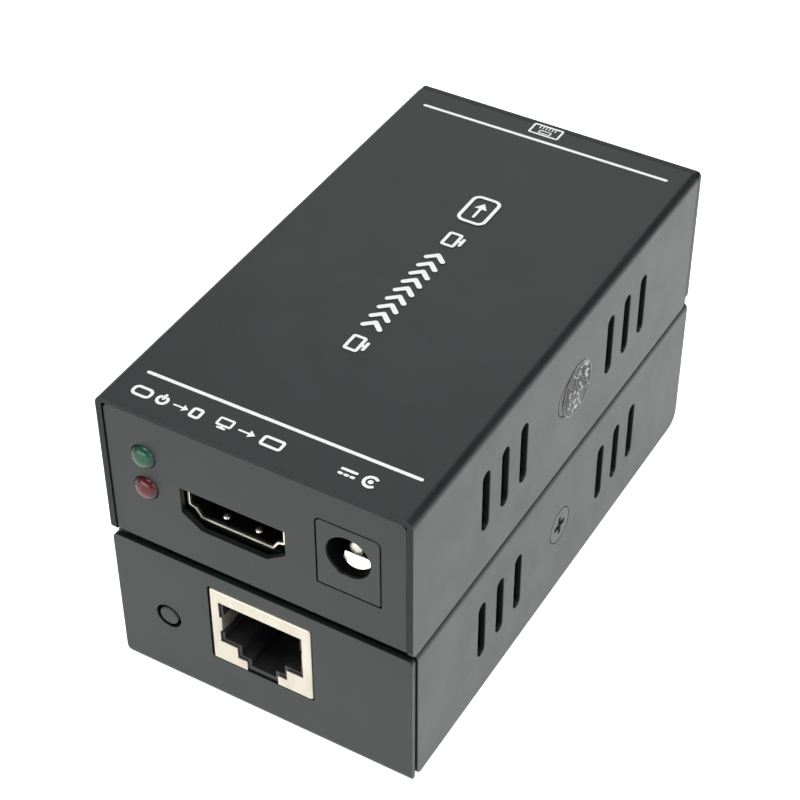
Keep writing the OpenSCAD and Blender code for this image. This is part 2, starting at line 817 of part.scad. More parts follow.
module crystal() {
    color("#c4c6c8") on_board(crystal_at) {
        linear_extrude(height = crystal_t) slot_outline(crystal_w - 2 * crystal_rim, crystal_l - 2 * crystal_rim);
        linear_extrude(height = crystal_rim_t) slot_outline(crystal_w, crystal_l);
    }
}

module capacitors() {
    color("#b8babd") for (place = can_places) on_board(place) {
        translate([0, 0, can_foot_t]) cylinder(h = can_h - can_foot_t, d = can_d);
        linear_extrude(height = can_foot_t) difference() {
            square(can_foot_w, center = true);
            for (side = [-1, 1]) translate([side * can_foot_w / 2, can_foot_w / 2]) rotate([0, 0, 45])
                square(can_foot_chamfer / cos(45), center = true);
        }
    }
}

module inductor() {
    coil_r = coil_d / 2;
    color("#4a4b4e") on_board(coil_at) rotate_extrude() polygon([
        [0, 0], [coil_r, 0], [coil_r, coil_foot_t], [coil_r, coil_flange_t],
        [coil_r - coil_waist_in, coil_flange_t + coil_foot_t],
        [coil_r - coil_waist_in, coil_h - coil_flange_t - coil_foot_t],
        [coil_r, coil_h - coil_flange_t], [coil_r, coil_h], [0, coil_h]
    ]);
}

// Clear film over the side screw, on the receiver's right wall
module screw_seal() {
    color("#8f9294", 0.5) translate([case_w / 2, seal_y, seal_z]) rotate([0, 90, 0])
        cylinder(h = seal_t, d = seal_d);
}

receiver() cover();  // receiver_cover
receiver() base();  // receiver_base
receiver() side_screws();  // receiver_side_screws
receiver() spacers();  // receiver_spacers
receiver() board();  // receiver_board
receiver() board_screws();  // receiver_board_screws
receiver() video_shell();  // receiver_video_shell
receiver() video_insert();  // receiver_video_insert
receiver() video_contacts();  // receiver_video_contacts
receiver() power_socket();  // receiver_power_socket
receiver() power_pin();  // receiver_power_pin
receiver() power_spring();  // receiver_power_spring
receiver() network_shield();  // receiver_network_shield
receiver() network_housing();  // receiver_network_housing
receiver() network_contacts();  // receiver_network_contacts
receiver() green_lamp();  // receiver_green_lamp
receiver() red_lamp();  // receiver_red_lamp
receiver() lamp_holder();  // receiver_lamp_holder
receiver() main_chip();  // receiver_main_chip
receiver() line_chip();  // receiver_line_chip
receiver() regulator();  // receiver_regulator
receiver() crystal();  // receiver_crystal
receiver() capacitors();  // receiver_capacitors
receiver() inductor();  // receiver_inductor
receiver() screw_seal();  // receiver_screw_seal
sender() cover(sender_tail_corner_r);  // sender_cover
sender() base(true);  // sender_base
sender() side_screws();  // sender_side_screws
sender() spacers();  // sender_spacers
sender() board();  // sender_board
sender() board_screws();  // sender_board_screws
sender() video_shell();  // sender_video_shell
sender() video_insert();  // sender_video_insert
sender() video_contacts();  // sender_video_contacts
sender() power_socket();  // sender_power_socket
sender() power_pin();  // sender_power_pin
sender() power_spring();  // sender_power_spring
sender() network_shield();  // sender_network_shield
sender() network_housing();  // sender_network_housing
sender() network_contacts();  // sender_network_contacts
sender() green_lamp();  // sender_green_lamp
sender() red_lamp();  // sender_red_lamp
sender() lamp_holder();  // sender_lamp_holder
sender() main_chip();  // sender_main_chip
sender() line_chip();  // sender_line_chip
sender() regulator();  // sender_regulator
sender() crystal();  // sender_crystal
sender() capacitors();  // sender_capacitors
sender() inductor();  // sender_inductor
sender() switch_body();  // sender_switch
sender() button();  // sender_button
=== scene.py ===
import math

import bmesh
import bpy
from mathutils import Matrix, Vector


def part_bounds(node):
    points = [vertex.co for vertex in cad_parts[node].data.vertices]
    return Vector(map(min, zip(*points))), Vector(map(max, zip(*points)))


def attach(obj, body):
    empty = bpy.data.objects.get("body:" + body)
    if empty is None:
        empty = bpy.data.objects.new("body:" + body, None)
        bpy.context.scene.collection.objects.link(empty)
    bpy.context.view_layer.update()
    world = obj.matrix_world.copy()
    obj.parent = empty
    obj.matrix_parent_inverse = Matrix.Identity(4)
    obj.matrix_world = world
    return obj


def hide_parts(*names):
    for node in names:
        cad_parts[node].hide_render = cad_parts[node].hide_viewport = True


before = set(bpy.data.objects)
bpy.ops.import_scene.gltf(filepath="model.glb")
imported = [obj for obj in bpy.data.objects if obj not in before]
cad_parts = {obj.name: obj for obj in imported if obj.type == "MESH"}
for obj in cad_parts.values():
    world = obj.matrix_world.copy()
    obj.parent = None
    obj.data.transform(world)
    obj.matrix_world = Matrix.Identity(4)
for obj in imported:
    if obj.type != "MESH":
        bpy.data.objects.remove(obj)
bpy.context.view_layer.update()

# Camera. The stacked pair is seen from the front right and from above, through a long lens, so
# that the long edges of the two boxes stay nearly parallel.
mm = 0.001
camera_place = Vector((110.0, -192.4, 221.3)) * mm
camera_target = Vector((-0.15, -4.7, 29.6)) * mm
camera_roll = math.radians(-0.22)
camera_lens = 93.15
camera_film = 36
camera_near = 10 * mm


def put(name, data):
    """Adds an object to the scene."""
    item = bpy.data.objects.new(name, data)
    bpy.context.scene.collection.objects.link(item)
    return item


camera_data = bpy.data.cameras.new("camera")
camera_data.lens = camera_lens
camera_data.sensor_width = camera_film
camera_data.clip_start = camera_near
camera = put("camera", camera_data)
camera.location = camera_place
camera.rotation_mode = "QUATERNION"
camera.rotation_quaternion = (camera_target - camera_place).to_track_quat("-Z", "Y")
camera.rotation_quaternion @= Matrix.Rotation(camera_roll, 4, "Z").to_quaternion()
bpy.context.scene.camera = camera
bpy.context.scene.view_settings.view_transform = "Standard"


# Studio. A white table, a light tent that is brighter towards its foot than overhead and darker
# on the right, and four soft boxes. The tent is what the paint and the plating reflect.
def shader_nodes(owner):
    """Empties a material's or a world's tree. Returns the function that adds a node, and the tree.

    An input is given by its name, with _ for a space, or as in0, in1 and so on by its number."""
    owner.use_nodes = True
    tree = owner.node_tree
    tree.nodes.clear()

    def add(kind, **inputs):
        node = tree.nodes.new("ShaderNode" + kind)
        for name, value in inputs.items():
            numbered = name.startswith("in")
            socket = node.inputs[int(name[2:]) if numbered else name.replace("_", " ")]
            if isinstance(value, bpy.types.NodeSocket):
                tree.links.new(value, socket)
            else:
                socket.default_value = value
        return node

    return add, tree


tent_foot = 0.78
tent_top = 0.16
tent_right = 0.25
tent_reach = 0.6
tent = bpy.data.worlds.new("light tent")
bpy.context.scene.world = tent
add, tree = shader_nodes(tent)
direction = add("SeparateXYZ", in0=add("TexCoord").outputs["Generated"])
height = add("MapRange", Value=direction.outputs["Z"], From_Min=0.0, From_Max=tent_reach,
             To_Min=tent_foot, To_Max=tent_top)
side = add("MapRange", Value=direction.outputs["X"], From_Min=0.0, From_Max=tent_reach,
           To_Min=1.0, To_Max=tent_right)
strength = add("Math", in0=height.outputs["Result"], in1=side.outputs["Result"])
strength.operation = "MULTIPLY"
seen = add("LightPath").outputs["Is Camera Ray"]
lit = add("Background", in0=(1.0, 0.995, 0.98, 1), Strength=strength.outputs[0])
white = add("Background", in0=(1, 1, 1, 1), Strength=1.0)
mix = add("MixShader", in0=seen, in1=lit.outputs[0], in2=white.outputs[0])
add("OutputWorld", Surface=mix.outputs[0])

table_size = 4000 * mm
table_drop = 0.02 * mm
table_glow = 0.92
bpy.ops.mesh.primitive_plane_add(size=table_size, location=(0, 0, -table_drop))
table = bpy.context.object
table.name = "table"
table_paint = bpy.data.materials.new("table_white")
add, tree = shader_nodes(table_paint)
path = add("LightPath")
shown = add("Math", in0=path.outputs["Is Camera Ray"], in1=path.outputs["Is Glossy Ray"])
shown = add("Math", in0=shown.outputs[0], in1=path.outputs["Is Transmission Ray"])
strength = add("Math", in0=shown.outputs[0], in1=table_glow)
strength.operation = "MULTIPLY"
glow = add("Emission", Color=(1, 1, 1, 1), Strength=strength.outputs[0])
matt = add("BsdfDiffuse", Color=(0.85, 0.85, 0.85, 1))
both = add("AddShader", in0=matt.outputs[0], in1=glow.outputs[0])
add("OutputMaterial", Surface=both.outputs[0])
table.data.materials.append(table_paint)

pair_middle = Vector((0, 0, 25)) * mm


def soft_box(name, place, wide, high, watts):
    """A rectangular lamp that faces the middle of the pair, in millimetres."""
    lamp = bpy.data.lights.new(name, "AREA")
    lamp.shape = "RECTANGLE"
    lamp.size = wide * mm
    lamp.size_y = high * mm
    lamp.energy = watts
    holder = put(name, lamp)
    holder.location = Vector(place) * mm
    holder.rotation_euler = (pair_middle - holder.location).to_track_quat("-Z", "Y").to_euler()


soft_box("soft_box_front", (-160, -620, 190), 700, 220, 2.2)
soft_box("soft_box_right", (750, -150, 400), 800, 600, 3.6)
soft_box("soft_box_top", (60, -120, 700), 400, 400, 2.7)
soft_box("soft_box_back", (-260, 520, 560), 500, 420, 0.8)


# Places of the two units. Both have the same case: the receiver lies on the sender, which is
# turned end for end. Each piece is drawn once in a unit's own frame and set on both.
both_units = "receiver sender"
unit_body = {"receiver": "receiver_unit", "sender": "sender_unit"}
unit_turn = {"receiver": 0, "sender": math.pi}
unit_place = {}
for unit in unit_body:
    low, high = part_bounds(f"{unit}_side_screws")
    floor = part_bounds(f"{unit}_base")[0].z
    middle = Vector(((low.x + high.x) / 2, (low.y + high.y) / 2, floor))
    unit_place[unit] = Matrix.Translation(middle) @ Matrix.Rotation(unit_turn[unit], 4, "Z")


def part_box(part, unit="receiver"):
    """Lowest corner, highest corner and middle of a part, in millimetres in its unit's frame."""
    corners = [unit_place[unit].inverted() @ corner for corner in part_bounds(f"{unit}_{part}")]
    low = Vector(map(min, *corners)) / mm
    high = Vector(map(max, *corners)) / mm
    return low, high, (low + high) / 2


def part_form(part, unit="receiver"):
    """The shape of a CAD node in its unit's frame, in millimetres, with its flat faces made whole.

    Places are rounded to a micron, so that what lay in one plane lies in one plane again."""
    micron_digits = 3
    same_point = 0.002
    same_plane = math.radians(0.5)
    form = bmesh.new()
    form.from_mesh(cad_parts[f"{unit}_{part}"].data)
    form.transform(Matrix.Scale(1 / mm, 4) @ unit_place[unit].inverted())
    for vert in form.verts:
        vert.co = [round(at, micron_digits) for at in vert.co]
    bmesh.ops.remove_doubles(form, verts=form.verts, dist=same_point)
    bmesh.ops.dissolve_limit(form, angle_limit=same_plane, verts=form.verts, edges=form.edges)
    return form


def as_mesh(form):
    """A mesh of a form. The form is used up."""
    shape = bpy.data.meshes.new("shape")
    form.to_mesh(shape)
    form.free()
    return shape


def as_modified(holder):
    """The mesh of an object as its modifiers leave it. The object is used up."""
    seen_by = bpy.context.evaluated_depsgraph_get()
    shape = bpy.data.meshes.new_from_object(holder.evaluated_get(seen_by))
    bpy.data.objects.remove(holder)
    return shape


def soften(form, width, segments=2, angle=35):
    """A mesh of a form drawn in millimetres, its sharp edges rounded, shaded smooth between them.

    No rounded corner is let out of the box of the form."""
    bmesh.ops.recalc_face_normals(form, faces=form.faces)
    form.transform(Matrix.Scale(mm, 4))
    low = [min(vert.co[i] for vert in form.verts) for i in range(3)]
    high = [max(vert.co[i] for vert in form.verts) for i in range(3)]
    shape = as_mesh(form)
    shape.shade_smooth()
    holder = put("holder", shape)
    edge = holder.modifiers.new("edge", "BEVEL")
    edge.width = width * mm
    edge.segments = segments
    edge.limit_method = "ANGLE"
    edge.angle_limit = math.radians(angle)
    edge.use_clamp_overlap = False
    edge.miter_outer = "MITER_ARC"
    flat = holder.modifiers.new("flat", "WEIGHTED_NORMAL")
    flat.mode = "FACE_AREA"
    flat.weight = 100
    done = as_modified(holder)
    for vert in done.vertices:
        vert.co = [min(max(at, least), most) for at, least, most in zip(vert.co, low, high)]
    return done


def plain(form, angle=35):
    """A mesh of a form drawn in millimetres, shaded smooth except at its sharp edges."""
    bmesh.ops.recalc_face_normals(form, faces=form.faces)
    form.transform(Matrix.Scale(mm, 4))
    shape = as_mesh(form)
    shape.shade_smooth()
    shape.set_sharp_from_angle(angle=math.radians(angle))
    return shape


def dress(units, part, shape, finish, stands_for="", body=None):
    """Sets a shape on one unit or both, gives it its finish, and hides the node that it stands for."""
    for unit in units.split():
        piece = put(f"{unit}_{part}", shape.copy())
        piece.data.name = piece.name
        piece.data.transform(unit_place[unit])
        piece.data.materials.clear()
        piece.data.materials.append(finish)
        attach(piece, body or unit_body[unit])
        if stands_for:
            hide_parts(f"{unit}_{stands_for}")


def surface(name, dark, light, gloss, scale=150.0, metal=0.0, stretch=(1, 1, 1), skin=0.0,
            ior=1.5, sheen=(1, 1, 1), cut_at=None):
    """A finish whose tone and gloss drift over the piece. Skin is the height of its fine texture.

    Past cut_at along Y, in millimetres, the cut ends of a sheet get less shine: painted shade along them."""
    skin_scale = 3000.0
    cloud_low, cloud_high = 0.3, 0.7
    face_shine, painted_shade_shine = 0.5, 0.16
    finish = bpy.data.materials.new(name)
    add, tree = shader_nodes(finish)
    place = add("Mapping", Vector=add("TexCoord").outputs["Object"], Scale=stretch).outputs[0]
    cloud = add("TexNoise", Vector=place, Scale=scale, Detail=3.0, Roughness=0.6).outputs["Fac"]
    tone = add("ValToRGB", Fac=cloud)
    for element, position, colour in zip(tone.color_ramp.elements, (cloud_low, cloud_high), (dark, light)):
        element.position = position
        element.color = (*colour, 1)
    rough = add("MapRange", Value=cloud, From_Min=cloud_low, From_Max=cloud_high,
                To_Min=gloss[0], To_Max=gloss[1])
    grain = add("TexNoise", Vector=place, Scale=skin_scale, Detail=2.0, Roughness=0.5)
    bump = add("Bump", Height=grain.outputs["Fac"], Strength=0.5, Distance=skin * mm)
    body = add("BsdfPrincipled", Base_Color=tone.outputs[0], Roughness=rough.outputs[0],
               Normal=bump.outputs[0])
    body.inputs["Metallic"].default_value = metal
    body.inputs["IOR"].default_value = ior
    body.inputs["Specular Tint"].default_value = (*sheen, 1)
    # Painted shade: past cut_at the reflection is turned down, so the cut ends read dark like a shaded
    # seam.
    if cut_at:
        reach = add("Math", in0=add("SeparateXYZ", in0=place).outputs["Y"])
        reach.operation = "ABSOLUTE"
        shine = add("MapRange", Value=reach.outputs[0], From_Min=(cut_at - 0.02) * mm,
                    From_Max=(cut_at - 0.01) * mm, To_Min=face_shine, To_Max=painted_shade_shine)
        tree.links.new(shine.outputs[0], body.inputs["Specular IOR Level"])
    add("OutputMaterial", Surface=body.outputs[0])
    return finish


# Covers and bases. Each is one sheet of 0.9 mm steel, punched, folded and powder-coated in
# matte charcoal. The coat rounds the cut edges and leaves a fine skin like orange peel.
paint_skin = 0.03
paint_sheen = (0.94, 1, 0.98)
# The cover's cut ends carry painted shade, less shine past cut_at.
case_paint = surface("case_paint", (0.007, 0.010, 0.010), (0.010, 0.013, 0.013), (0.38, 0.44),
                     skin=paint_skin, sheen=paint_sheen, cut_at=-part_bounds("receiver_cover")[0].y / mm)
base_paint = surface("base_paint", (0.004, 0.007, 0.006), (0.006, 0.009, 0.008), (0.4, 0.46),
                     skin=paint_skin, ior=1.44, sheen=paint_sheen)
for unit in unit_body:
    dress(unit, "cover_sheet", soften(part_form("cover", unit), 0.12, 3), case_paint, "cover")
    dress(unit, "base_sheet", soften(part_form("base", unit), 0.07, 2), base_paint, "base")


# Print. Thin white screen print on the receiver's roof: a rule near each end, small signs for
# the sockets, and a large sign of the pair's use along the middle.
def skin(form, rings, caps=True):
    """Joins rings of points into a closed surface. A ring of one point is a tip."""
    loops = [[form.verts.new(point) for point in ring] for ring in rings]
    for one, two in zip(loops, loops[1:]):
        for i in range(max(len(one), len(two))):
            j = i + 1
            corners = [one[i % len(one)], one[j % len(one)], two[j % len(two)], two[i % len(two)]]
            form.faces.new(list(dict.fromkeys(corners)))
    for loop in (loops[0], loops[-1]):
        if caps and len(loop) > 2:
            form.faces.new(loop)


def arc(x, y, radius, start, end, steps=10):
    """Points on an arc, with its angles in degrees."""
    angles = [math.radians(start + (end - start) * i / steps) for i in range(steps + 1)]
    return [(x + radius * math.cos(a), y + radius * math.sin(a)) for a in angles]


class Print:
    """A layer of print, drawn in strokes. Each stroke lies a hair above the one before."""

    hair = 0.0004
    sign_line = 0.28

    def __init__(self, height):
        self.form = bmesh.new()
        self.height = height
        self.place = Matrix()

    def move(self, x, y, turn=0):
        """Draws from here on about a new point, turned by some degrees."""
        self.place = Matrix.Translation((x, y, 0)) @ Matrix.Rotation(math.radians(turn), 4, "Z")

    def patch(self, points):
        """A filled shape."""
        self.height += self.hair
        corners = [self.place @ Vector((x, y, self.height)) for x, y in points]
        self.form.faces.new([self.form.verts.new(corner) for corner in corners])

    def stroke(self, points, width):
        """A line with round ends."""
        for (x0, y0), (x1, y1) in zip(points, points[1:]):
            lean = math.degrees(math.atan2(y1 - y0, x1 - x0))
            near = arc(x0, y0, width / 2, lean + 90, lean + 270)
            far = arc(x1, y1, width / 2, lean - 90, lean + 90)
            self.patch(far + near)

    def frame(self, low, high, radius, width):
        """A rectangle's outline with round corners."""
        left, right, down, up = low[0] + radius, high[0] - radius, low[1] + radius, high[1] - radius
        line = arc(right, down, radius, -90, 0, 5) + arc(right, up, radius, 0, 90, 5)
        line += arc(left, up, radius, 90, 180, 5) + arc(left, down, radius, 180, 270, 5)
        self.stroke(line + line[:1], width)

    def screen(self, x, y, size):
        """A screen on its foot, seen from the front."""
        wide, high, reflection_mask, line = 0.8 * size, 0.5 * size, 0.9 * size, self.sign_line * size
        self.frame((x - wide, y - high), (x + wide, y + high), 0.12 * size, line)
        self.stroke([(x - 0.4 * size, y - reflection_mask), (x + 0.4 * size, y - reflection_mask)], line)
        self.stroke([(x, y - reflection_mask), (x, y - high)], line)

    def arrow(self, x, y, size):
        """An arrow towards +X."""
        neck, tip, half = 0.3 * size, 1.15 * size, 0.62 * size
        self.stroke([(x - size, y), (x + size * 0.6, y)], self.sign_line * size)
        self.patch([(x + neck, y - half), (x + tip, y), (x + neck, y + half)])


ink_lift = 0.012
rule_line = 0.55
small_line = 0.45
fine_line = 0.34
bold_line = 0.75
ink = Print(part_box("cover")[1].z + ink_lift)
# Two rules
ink.stroke([(-19.8, -34.75), (20.4, -34.6)], rule_line)
ink.stroke([(-19.8, 36.6), (19.8, 36.9)], rule_line)
# Lamps: a lamp, and power that reaches a lamp
ink.move(-14.5, -38.3)
ink.frame((-5.1, -0.75), (-2.5, 0.75), 0.6, small_line)
ink.stroke(arc(-0.7, -0.05, 0.72, 130, 410), small_line)
ink.stroke([(-0.7, 0.2), (-0.7, 0.95)], small_line)
ink.arrow(2.1, 0, 1.0)
ink.frame((3.8, -0.75), (5.1, 0.75), 0.3, small_line)
# Video socket: a screen that takes its signal from a socket
ink.move(-2.15, -38.2)
ink.screen(-3.7, 0.25, 1.25)
ink.arrow(-0.4, 0, 1.1)
ink.frame((2.0, -0.75), (4.8, 0.75), 0.3, small_line)
# Power socket: direct current, and a barrel plug with its pin
ink.move(13.8, -38.1)
ink.stroke([(-2.7, 0.42), (-0.7, 0.42)], small_line)
for i in range(3):
    ink.stroke([(-2.7 + 0.85 * i, -0.42), (-2.4 + 0.85 * i, -0.42)], small_line)
ink.stroke(arc(1.5, 0, 0.9, 50, 310), small_line)
ink.patch(arc(1.5, 0, 0.36, 0, 345, 23))
# Network socket: its outline with its latch and its wires
ink.move(-0.75, 39.35)
ink.frame((-2.3, -1.15), (2.3, 1.15), 0.15, fine_line)
ink.frame((-0.9, -0.75), (0.9, -0.1), 0.1, 0.2)
for i in range(6):
    ink.stroke([(-1.25 + 0.5 * i, 0.35), (-1.25 + 0.5 * i, 0.9)], 0.18)
# Use: two screens joined by a row of chevrons, and a sign for the way that the signal goes
ink.move(0.25, -3.7, 90)
ink.screen(-12.9, 0.15, 1.75)
ink.screen(12.9, 0.15, 1.75)
for i in range(9):
    tip = -8.3 + 2.1 * i
    ink.stroke([(tip - 0.75, 1.25), (tip + 0.35, 0), (tip - 0.75, -1.25)], bold_line)
ink.move(0.15, 17.0, 90)
ink.frame((-3.0, -2.0), (3.0, 2.0), 1.0, rule_line)
ink.arrow(-0.1, 0, 1.6)
white_ink = surface("white_ink", (0.82, 0.83, 0.82), (0.90, 0.91, 0.90), (0.5, 0.6), scale=900.0,
                    skin=0.01)
dress("receiver", "roof_print", plain(ink.form), white_ink)


# Side screws and the seal. Flat-head steel screws in black zinc, with a rolled thread, hold the
# cover to the base's tabs. A round clear film is stuck over the receiver's right-hand one.
def spin(form, profile, place=Matrix(), steps=40, caps=True):
    """Turns a profile of (radius, height) pairs about Z, and sets the result at its place."""
    rings = []
    for radius, height in profile:
        angles = [math.tau * i / steps for i in range(steps if radius > 0 else 1)]
        ring = [Vector((radius * math.cos(a), radius * math.sin(a), height)) for a in angles]
        rings.append([place @ point for point in ring])
    skin(form, rings, caps)


def looking(direction, at):
    """A place whose Z looks along a direction, at a point."""
    return Matrix.Translation(at) @ Vector(direction).to_track_quat("Z", "Y").to_matrix().to_4x4()


def node_tree(name, inputs):
    """A geometry tree with a named input for each entry, and its group input and output."""
    tree = bpy.data.node_groups.new(name, "GeometryNodeTree")
    tree.interface.new_socket("Geometry", in_out="INPUT", socket_type="NodeSocketGeometry")
    for label, kind in inputs.items():
        tree.interface.new_socket(label, in_out="INPUT", socket_type="NodeSocket" + kind)
    tree.interface.new_socket("Geometry", in_out="OUTPUT", socket_type="NodeSocketGeometry")
    return tree, tree.nodes.new("NodeGroupInput"), tree.nodes.new("NodeGroupOutput")


def grow(tree, shape, **values):
    """The mesh that a tree makes from a shape, with the tree's inputs set by name."""
    holder = put("holder", shape)
    modifier = holder.modifiers.new("grow", "NODES")
    modifier.node_group = tree
    for item in tree.interface.items_tree:
        if item.in_out == "INPUT" and item.name in values:
            modifier[item.identifier] = values[item.name]
    return as_modified(holder)


# Rows: copies of a shape at even steps, the whole row turned about a point as often as asked
row_tree, row_in, row_out = node_tree("rows_of_parts", {
    "Count": "Int", "Start": "Vector", "Step": "Vector", "Rows": "Int", "Centre": "Vector",
    "Finish": "Material"})
line = row_tree.nodes.new("GeometryNodeMeshLine")
row_set = row_tree.nodes.new("GeometryNodeInstanceOnPoints")
around = row_tree.nodes.new("GeometryNodeMeshLine")
around.inputs["Offset"].default_value = (0, 0, 0)
place_index = row_tree.nodes.new("GeometryNodeInputIndex")
part_turn = row_tree.nodes.new("ShaderNodeMath")
part_turn.operation = "DIVIDE"
part_turn.inputs[0].default_value = math.tau
row_angle = row_tree.nodes.new("ShaderNodeMath")
row_angle.operation = "MULTIPLY"
row_turn = row_tree.nodes.new("ShaderNodeCombineXYZ")
ring_set = row_tree.nodes.new("GeometryNodeInstanceOnPoints")
row_real = row_tree.nodes.new("GeometryNodeRealizeInstances")
row_finish = row_tree.nodes.new("GeometryNodeSetMaterial")
for start, end in [
        (row_in.outputs["Count"], line.inputs["Count"]),
        (row_in.outputs["Start"], line.inputs["Start Location"]),
        (row_in.outputs["Step"], line.inputs["Offset"]),
        (line.outputs["Mesh"], row_set.inputs["Points"]),
        (row_in.outputs["Geometry"], row_set.inputs["Instance"]),
        (row_in.outputs["Rows"], around.inputs["Count"]),
        (row_in.outputs["Centre"], around.inputs["Start Location"]),
        (row_in.outputs["Rows"], part_turn.inputs[1]),
        (part_turn.outputs[0], row_angle.inputs[0]),
        (place_index.outputs[0], row_angle.inputs[1]),
        (row_angle.outputs[0], row_turn.inputs["Z"]),
        (around.outputs["Mesh"], ring_set.inputs["Points"]),
        (row_set.outputs["Instances"], ring_set.inputs["Instance"]),
        (row_turn.outputs[0], ring_set.inputs["Rotation"]),
        (ring_set.outputs["Instances"], row_real.inputs[0]),
        (row_real.outputs[0], row_finish.inputs["Geometry"]),
        (row_in.outputs["Finish"], row_finish.inputs["Material"]),
        (row_finish.outputs[0], row_out.inputs[0])]:
    row_tree.links.new(start, end)


def in_rows(shape, finish, count, start, step, rows=1, centre=(0, 0, 0)):
    """Copies of a shape in a row, and the row itself repeated around a centre, in millimetres."""
    return grow(row_tree, shape, Count=count, Start=Vector(start) * mm, Step=Vector(step) * mm,
                Rows=rows, Centre=Vector(centre) * mm, Finish=finish)


# Coils: a round wire along a spiral, for threads and windings
coil_tree, coil_in, coil_out = node_tree("coil_of_wire", {
    "Turns": "Float", "Radius": "Float", "Height": "Float", "Wire": "Float", "Finish": "Material"})
spiral = coil_tree.nodes.new("GeometryNodeCurveSpiral")
spiral.inputs["Resolution"].default_value = 24
wire = coil_tree.nodes.new("GeometryNodeCurvePrimitiveCircle")
wire.inputs["Resolution"].default_value = 8
sweep = coil_tree.nodes.new("GeometryNodeCurveToMesh")
sweep.inputs["Fill Caps"].default_value = True
smooth = coil_tree.nodes.new("GeometryNodeSetShadeSmooth")
coil_finish = coil_tree.nodes.new("GeometryNodeSetMaterial")
for start, end in [
        (coil_in.outputs["Turns"], spiral.inputs["Rotations"]),
        (coil_in.outputs["Radius"], spiral.inputs["Start Radius"]),
        (coil_in.outputs["Radius"], spiral.inputs["End Radius"]),
        (coil_in.outputs["Height"], spiral.inputs["Height"]),
        (coil_in.outputs["Wire"], wire.inputs["Radius"]),
        (spiral.outputs["Curve"], sweep.inputs["Curve"]),
        (wire.outputs["Curve"], sweep.inputs["Profile Curve"]),
        (sweep.outputs["Mesh"], smooth.inputs["Geometry"]),
        (smooth.outputs["Geometry"], coil_finish.inputs["Geometry"]),
        (coil_in.outputs["Finish"], coil_finish.inputs["Material"]),
        (coil_finish.outputs[0], coil_out.inputs[0])]:
    coil_tree.links.new(start, end)


def coiled(finish, turns, radius, height, wire_r, places):
    """Round wire wound about the Z of each place, in millimetres, as one mesh."""
    form = bmesh.new()
    seed = bpy.data.meshes.new("seed")
    for place in places:
        wound = grow(coil_tree, seed, Turns=turns, Radius=radius * mm, Height=height * mm,
                     Wire=wire_r * mm, Finish=finish)
        spot = place.copy()
        spot.translation *= mm
        wound.transform(spot)
        form.from_mesh(wound)
    return as_mesh(form)


black_steel = surface("black_steel", (0.035, 0.036, 0.038), (0.06, 0.061, 0.063), (0.34, 0.46),
                      scale=700.0, metal=0.35, skin=0.01)
thread_l = 3.2
thread_r = 1.45
thread_turns = 6.5
thread_ridge = 0.16
thread_in = 1.6
head_z = part_box("side_screws")[2].z
wall = part_box("cover")[1].x
threads = [looking((-side, 0, 0), (side * (wall - thread_in), 0, head_z)) for side in (-1, 1)]
dress(both_units, "side_screw_heads", soften(part_form("side_screws"), 0.1, 2), black_steel,
      "side_screws")
screw_threads = coiled(black_steel, thread_turns, thread_r, thread_l, thread_ridge, threads)
dress(both_units, "side_screw_threads", screw_threads, black_steel)

# Seal: clear film with painted glints scattered over it, and a painted shade sliver where the screw's sunk
# hole shows at its edge
low, high, middle = part_box("screw_seal")
seal_r = (high.z - low.z) / 2
sliver_y, sliver_z = 0.8, 0.25
stuck_middle = unit_place["receiver"] @ (Vector((low.x, middle.y + sliver_y, middle.z + sliver_z)) * mm)
film = bpy.data.materials.new("clear_film")
add, tree = shader_nodes(film)
place = add("TexCoord").outputs["Object"]
glint_noise = add("TexNoise", Vector=place, Scale=1300.0, Detail=2.0, Roughness=0.55, Distortion=0.4)
# Painted glints: white, more opaque spots where the noise rises.
rise = add("MapRange", Value=glint_noise.outputs["Fac"], From_Min=0.55, From_Max=0.64, To_Min=0.0, To_Max=1.0)
fall = add("MapRange", Value=glint_noise.outputs["Fac"], From_Min=0.8, From_Max=0.9, To_Min=1.0, To_Max=0.3)
glint = add("Math", in0=rise.outputs[0], in1=fall.outputs[0])
glint.operation = "MULTIPLY"
veil = add("MapRange", Value=glint.outputs[0], To_Min=0.28, To_Max=0.62)
tint = add("ValToRGB", Fac=glint.outputs[0])
tint.color_ramp.elements[0].color = (0.17, 0.175, 0.175, 1)
tint.color_ramp.elements[1].color = (0.88, 0.89, 0.90, 1)
# Painted shade: past a shifted circle the film turns black, standing for the shaded sunk hole beside it.
apart = add("VectorMath", in0=place, in1=tuple(stuck_middle))
apart.operation = "DISTANCE"
sliver_shade = add("MapRange", Value=apart.outputs["Value"], From_Min=(seal_r - 0.05) * mm,
          From_Max=(seal_r + 0.1) * mm, To_Min=0.0, To_Max=0.95)
tone = add("MixRGB", Fac=sliver_shade.outputs[0], Color1=tint.outputs[0], Color2=(0.002, 0.002, 0.002, 1))
cover = add("Math", in0=veil.outputs[0], in1=sliver_shade.outputs[0])
cover.operation = "MAXIMUM"
body = add("BsdfPrincipled", Base_Color=tone.outputs[0], Alpha=cover.outputs[0], Roughness=0.3, IOR=1.3)
add("OutputMaterial", Surface=body.outputs[0])
seal_cut_edge = surface("seal_cut_edge", (0.16, 0.165, 0.17), (0.26, 0.265, 0.27), (0.3, 0.4), scale=900.0)
seal_place = looking((1, 0, 0), (low.x, middle.y, middle.z))
form = bmesh.new()
disc = [(0, 0), (seal_r - 0.02, 0), (seal_r, 0.03), (seal_r, 0.07), (seal_r - 0.06, 0.1), (0, 0.1)]
spin(form, disc, seal_place, 64)
dress("receiver", "screw_seal_film", plain(form, 60), film, "screw_seal")
form = bmesh.new()
rim = [(seal_r - 0.17, 0.09), (seal_r - 0.13, 0.12), (seal_r - 0.04, 0.12), (seal_r, 0.07),
       (seal_r - 0.1, 0.05)]
spin(form, rim + rim[:1], seal_place, 64, False)
dress("receiver", "screw_seal_edge", plain(form, 60), seal_cut_edge)


